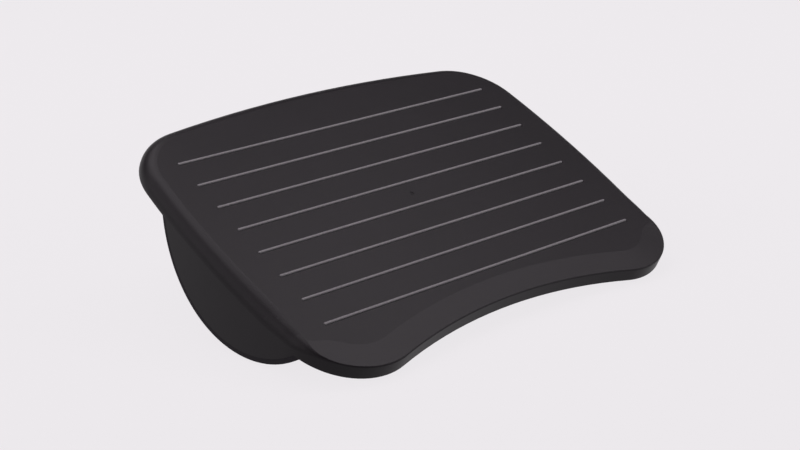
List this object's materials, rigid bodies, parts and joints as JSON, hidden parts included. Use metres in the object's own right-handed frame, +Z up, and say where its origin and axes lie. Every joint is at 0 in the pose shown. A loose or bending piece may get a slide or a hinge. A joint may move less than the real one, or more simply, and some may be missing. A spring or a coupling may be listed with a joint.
{
  "type": "tilting footrest",
  "caption": "Low tilting footrest: wide moulded deck with soft grip strips, scooped front edge and round-bottomed side cheeks, rocking on an axle over a hidden base.",
  "frame": {"origin": "on the floor, under the middle of the overall box at rest", "axes": "+Z up, +Y from the user towards the raised rear edge, +X to the user's right along the axle"},
  "size_m": [0.45, 0.301, 0.1491],
  "materials": {
    "deck_moulding": "fine matt grain",
    "grey_soft_strip": "matt",
    "black_rubber": "matt",
    "base_moulding": "satin",
    "steel_bar": "drawn",
    "plated_steel": "bright",
    "nylon": "satin"
  },
  "bodies": {
    "base": {"left_stand": "base_moulding", "right_stand": "base_moulding", "left_outer_bush": "nylon", "right_outer_bush": "nylon", "left_inner_bush": "nylon", "right_inner_bush": "nylon", "front_tie_tube": "steel_bar", "rear_tie_tube": "steel_bar", "tube_plugs": "plated_steel", "tube_screws": "plated_steel", "left_front_foot": "black_rubber", "right_front_foot": "black_rubber", "left_rear_foot": "black_rubber", "right_rear_foot": "black_rubber", "left_front_bumper": "black_rubber", "right_front_bumper": "black_rubber", "left_rear_bumper": "black_rubber", "right_rear_bumper": "black_rubber"},
    "platform": {"platform_shell": "deck_moulding", "grip_strip_1": "grey_soft_strip", "grip_strip_2": "grey_soft_strip", "grip_strip_3": "grey_soft_strip", "grip_strip_4": "grey_soft_strip", "grip_strip_5": "grey_soft_strip", "grip_strip_6": "grey_soft_strip", "grip_strip_7": "grey_soft_strip", "grip_strip_8": "grey_soft_strip", "left_cheek_edging": "black_rubber", "right_cheek_edging": "black_rubber", "axle": "steel_bar", "left_axle_clip": "plated_steel", "right_axle_clip": "plated_steel", "left_inner_axle_cap": "base_moulding", "right_inner_axle_cap": "base_moulding", "left_outer_axle_cap": "base_moulding", "right_outer_axle_cap": "base_moulding", "axle_cap_screws": "plated_steel"}
  },
  "joints": [
    {"name": "deck_tilt", "type": "hinge", "parent": "base", "child": "platform", "pos_m": [0, 0.01536, 0.05682], "axis": [-1, 0, 0], "range_deg": [0, 40]}
  ]
}
